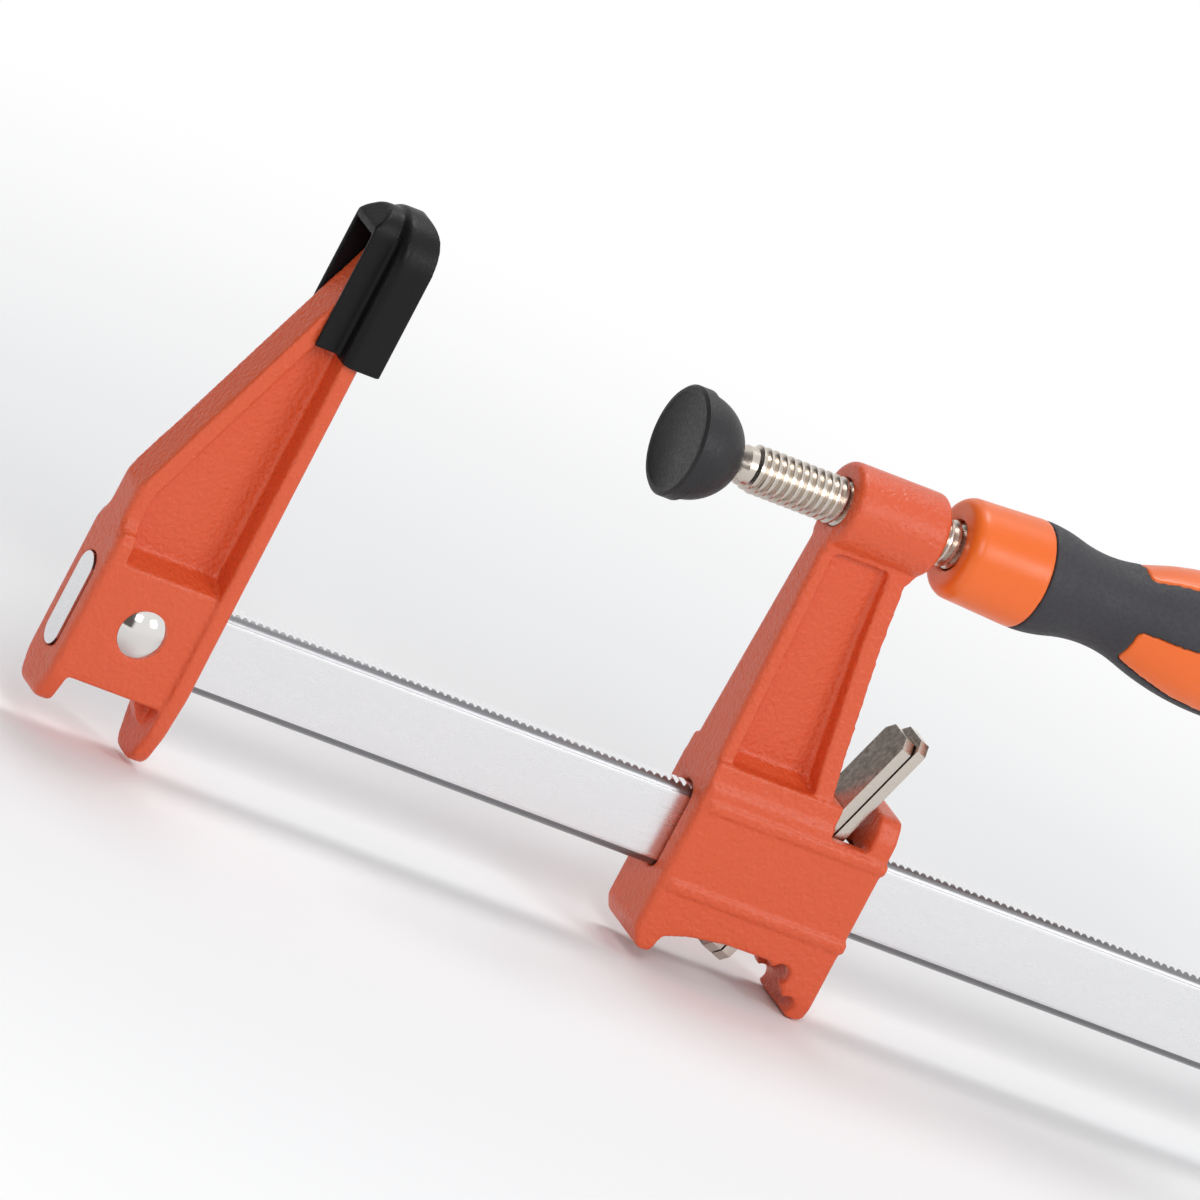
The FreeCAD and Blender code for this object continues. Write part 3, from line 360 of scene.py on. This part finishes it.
turns = (THREAD_END - THREAD_START) / PITCH - 1
base = ROOT_RADIUS - RIDGE_SINK
ridge = []
for step in range(int(turns * TURN_STEPS) + 1):
    turn = step / TURN_STEPS
    run_in = min(1.0, turn / RUN_IN_TURNS, (turns - turn) / RUN_IN_TURNS)
    crest = base + (CREST_RADIUS - base) * max(LOWEST_RIDGE, run_in)
    middle = THREAD_START + (turn + 0.5) * PITCH
    around = Vector((0, math.sin(turn * 2 * math.pi), math.cos(turn * 2 * math.pi)))
    ridge.append([
        Vector((middle + x * PITCH, 0, 0)) + around * r
        for x, r in ((-0.5, base), (-HALF_CREST, crest), (HALF_CREST, crest), (0.5, base))])
thread = bmesh.new()
sweep(thread, ridge)
thread_mesh = bpy.data.meshes.new("thread_ridge")
thread.to_mesh(thread_mesh)
thread.free()
screw.from_mesh(thread_mesh)
bpy.data.meshes.remove(thread_mesh)
place_piece("threaded_spindle", screw, nickel, "screw", "spindle", 28)
print("thread turns:", round(turns, 1))

# %% [markdown]
# ## Spring
# The spring behind the plates pushes their lower ends forward. It is a wire wound into a helix, with the
# last turn at each end wound flat so that it sits square. A round section is carried along the helix.

# %% Coil spring
spring_low, spring_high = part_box("clutch_spring")
WIRE_RADIUS = 0.45 * MM
SPRING_RADIUS = 3.3 * MM
coil_radius = SPRING_RADIUS - WIRE_RADIUS
coil_centre_z = (spring_low.z + spring_high.z) / 2
COIL_TURNS = 6.0
FLAT_TURNS = 0.8
COIL_STEPS = 40
WIRE_SIDES = 10
coil_length = spring_high.x - spring_low.x - 2 * WIRE_RADIUS


def coil_x(turn):
    """The place along the axis of a turn of the wire, which climbs less in the flat end turns."""
    flat = 0.25 * FLAT_TURNS
    open_turns = COIL_TURNS - 2 * FLAT_TURNS
    climbing = min(max(turn - FLAT_TURNS, 0), open_turns)
    ends = (min(turn, FLAT_TURNS) + max(turn - COIL_TURNS + FLAT_TURNS, 0)) / FLAT_TURNS / 2
    share = flat * ends / COIL_TURNS * 2 + (1 - 2 * flat / COIL_TURNS) * climbing / open_turns
    return spring_low.x + WIRE_RADIUS + coil_length * share


coil_rings = []
for step in range(int(COIL_TURNS * COIL_STEPS) + 1):
    turn = step / COIL_STEPS
    out = Vector((0, math.sin(turn * 2 * math.pi), math.cos(turn * 2 * math.pi)))
    centre = Vector((coil_x(turn), 0, coil_centre_z)) + out * coil_radius
    coil_rings.append([
        centre + Vector((1, 0, 0)) * WIRE_RADIUS * math.cos(a) + out * WIRE_RADIUS * math.sin(a)
        for a in (2 * math.pi * side / WIRE_SIDES for side in range(WIRE_SIDES))])
coil = bmesh.new()
sweep(coil, coil_rings)
spring = place_piece("coil_spring", coil, spring_wire, "head", "clutch_spring", 60)
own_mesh(spring)

# %% [markdown]
# ## Handle
# A hard orange core shows as a collar in front and as three inlays. Soft black rubber is moulded round it.
# Both get a fine soft skin, so that the rubber rolls over at the rim of each inlay and leaves a thin shadow
# line between the two.

# %% Core and grip
place_piece("handle_body", soft_skin("handle_core", 0.5 * MM, 3, "handle_body"),
            handle_orange, "screw", "handle_core", 75)
place_piece("soft_grip", soft_skin("handle_grip", 0.5 * MM, 3, "soft_grip"),
            grip_black, "screw", "handle_grip", 75)

# %% [markdown]
# ## Floor, light and camera
# The photograph is a product picture on white with the camera rolled to the left, so that the clamp lies
# across the frame. A long lens from far away keeps the lines of the bar nearly parallel. The floor is pale
# and fades into the white surroundings. Polished metal needs something dark to mirror, or it looks like
# white paint, so a soft dark wall stands to the left, which only reflections show.

# %% Which rays see the white
def plainly_seen(tree):
    """One for rays from the camera, straight or by way of metal or glass, and zero for other light."""
    rays = tree.nodes.new("ShaderNodeLightPath")
    seen = rays.outputs["Is Camera Ray"]
    for kind in ("Is Glossy Ray", "Is Transmission Ray"):
        either = tree.nodes.new("ShaderNodeMath")
        either.operation = "MAXIMUM"
        tree.links.new(seen, either.inputs[0])
        tree.links.new(rays.outputs[kind], either.inputs[1])
        seen = either.outputs["Value"]
    return seen


# %% Floor
FOOT_LEVEL = min(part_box("fixed_jaw")[0].z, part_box("sliding_jaw")[0].z)
FLOOR_MIDDLE = 0.15
FLOOR_HALF_WIDTH = 6.0
FADE_FROM = 0.2
FADE_TO = 0.6
floor_paint, tree, shader = make_finish("floor_paint", "floor", (0.96, 0.96, 0.96), 0.9)
floor_bm = bmesh.new()
bmesh.ops.create_grid(floor_bm, x_segments=1, y_segments=1, size=FLOOR_HALF_WIDTH)
bmesh.ops.translate(floor_bm, verts=floor_bm.verts, vec=(FLOOR_MIDDLE, 0, FOOT_LEVEL - 0.2 * MM))
floor_mesh = bpy.data.meshes.new("floor")
floor_bm.to_mesh(floor_mesh)
floor_bm.free()
floor_mesh.materials.append(floor_paint)
floor = bpy.data.objects.new("floor", floor_mesh)
bpy.context.scene.collection.objects.link(floor)

place = tree.nodes.new("ShaderNodeTexCoord")
away = tree.nodes.new("ShaderNodeVectorMath")
away.operation = "DISTANCE"
away.inputs[1].default_value = (FLOOR_MIDDLE, 0, FOOT_LEVEL)
tree.links.new(place.outputs["Object"], away.inputs[0])
fade = tree.nodes.new("ShaderNodeMapRange")
fade.interpolation_type = "SMOOTHSTEP"
fade.inputs["From Min"].default_value = FADE_FROM
fade.inputs["From Max"].default_value = FADE_TO
tree.links.new(away.outputs["Value"], fade.inputs["Value"])
white = tree.nodes.new("ShaderNodeEmission")
white.inputs["Strength"].default_value = 1.0
faded = tree.nodes.new("ShaderNodeMath")
faded.operation = "MULTIPLY"
tree.links.new(fade.outputs["Result"], faded.inputs[0])
tree.links.new(plainly_seen(tree), faded.inputs[1])
blend_to_white = tree.nodes.new("ShaderNodeMixShader")
tree.links.new(faded.outputs["Value"], blend_to_white.inputs["Fac"])
tree.links.new(shader.outputs["BSDF"], blend_to_white.inputs[1])
tree.links.new(white.outputs["Emission"], blend_to_white.inputs[2])
tree.links.new(blend_to_white.outputs["Shader"], tree.nodes["Material Output"].inputs["Surface"])

# %% World
world = bpy.data.worlds.new("studio")
bpy.context.scene.world = world
world.use_nodes = True
tree = world.node_tree
surround = tree.nodes["Background"]
surround.inputs["Color"].default_value = (0.9, 0.92, 0.95, 1)
surround.inputs["Strength"].default_value = 0.45
clear_white = tree.nodes.new("ShaderNodeBackground")
clear_white.inputs["Color"].default_value = (1, 1, 1, 1)
clear_white.inputs["Strength"].default_value = 1.0
choose = tree.nodes.new("ShaderNodeMixShader")
tree.links.new(plainly_seen(tree), choose.inputs["Fac"])
tree.links.new(surround.outputs["Background"], choose.inputs[1])
tree.links.new(clear_white.outputs["Background"], choose.inputs[2])

# %% The dark wall that polished metal mirrors
DARK_WALL = Vector((-1.0, 0.0, 0.1)).normalized()
WALL_FADES_FROM = 0.3
WALL_FADES_TO = 0.48
toward = tree.nodes.new("ShaderNodeTexCoord")
facing = tree.nodes.new("ShaderNodeVectorMath")
facing.operation = "DOT_PRODUCT"
facing.inputs[1].default_value = DARK_WALL
tree.links.new(toward.outputs["Generated"], facing.inputs[0])
edge_of_wall = tree.nodes.new("ShaderNodeMapRange")
edge_of_wall.interpolation_type = "SMOOTHSTEP"
edge_of_wall.inputs["From Min"].default_value = WALL_FADES_FROM
edge_of_wall.inputs["From Max"].default_value = WALL_FADES_TO
tree.links.new(facing.outputs["Value"], edge_of_wall.inputs["Value"])
mirrored = tree.nodes.new("ShaderNodeMath")
mirrored.operation = "MULTIPLY"
tree.links.new(edge_of_wall.outputs["Result"], mirrored.inputs[0])
tree.links.new(tree.nodes.new("ShaderNodeLightPath").outputs["Is Glossy Ray"], mirrored.inputs[1])
wall_shade = tree.nodes.new("ShaderNodeBackground")
wall_shade.inputs["Color"].default_value = (0.13, 0.115, 0.11, 1)
wall_shade.inputs["Strength"].default_value = 1.0
add_wall = tree.nodes.new("ShaderNodeMixShader")
tree.links.new(mirrored.outputs["Value"], add_wall.inputs["Fac"])
tree.links.new(choose.outputs["Shader"], add_wall.inputs[1])
tree.links.new(wall_shade.outputs["Background"], add_wall.inputs[2])
tree.links.new(add_wall.outputs["Shader"], tree.nodes["World Output"].inputs["Surface"])

# %% Lamps
TARGET = Vector((0.08515, 0, -0.04379))


def soft_lamp(name, where, size, power):
    """A square area lamp that looks at the middle of the picture."""
    lamp = bpy.data.lights.new(name, "AREA")
    lamp.shape = "SQUARE"
    lamp.size = size
    lamp.energy = power
    holder = bpy.data.objects.new(name, lamp)
    holder.location = TARGET + Vector(where)
    holder.rotation_mode = "QUATERNION"
    holder.rotation_quaternion = (-Vector(where)).to_track_quat("-Z", "Y")
    bpy.context.scene.collection.objects.link(holder)


soft_lamp("left_lamp", (-0.5, -1.3, 0.9), 0.5, 7)
soft_lamp("front_lamp", (0.9, -1.3, 0.8), 0.6, 7)
soft_lamp("top_lamp", (0.2, 0.4, 1.5), 0.6, 8)

# %% Camera
AZIMUTH = math.radians(-27.1)
ELEVATION = math.radians(14.0)
ROLL = math.radians(27.85)
DISTANCE = 5.677
back = Vector((
    math.sin(AZIMUTH) * math.cos(ELEVATION), -math.cos(AZIMUTH) * math.cos(ELEVATION), math.sin(ELEVATION)))
lens = bpy.data.cameras.new("camera")
lens.sensor_width = 36.0
lens.lens = 715.2
lens.clip_start = 0.1
lens.clip_end = 60.0
camera = bpy.data.objects.new("camera", lens)
camera.location = TARGET + back * DISTANCE
camera.rotation_mode = "QUATERNION"
camera.rotation_quaternion = (-back).to_track_quat("-Z", "Y") @ Quaternion((0, 0, 1), ROLL)
bpy.context.scene.collection.objects.link(camera)
bpy.context.scene.camera = camera
bpy.context.scene.view_settings.view_transform = "Standard"
print("camera at", tuple(round(c, 3) for c in camera.location))
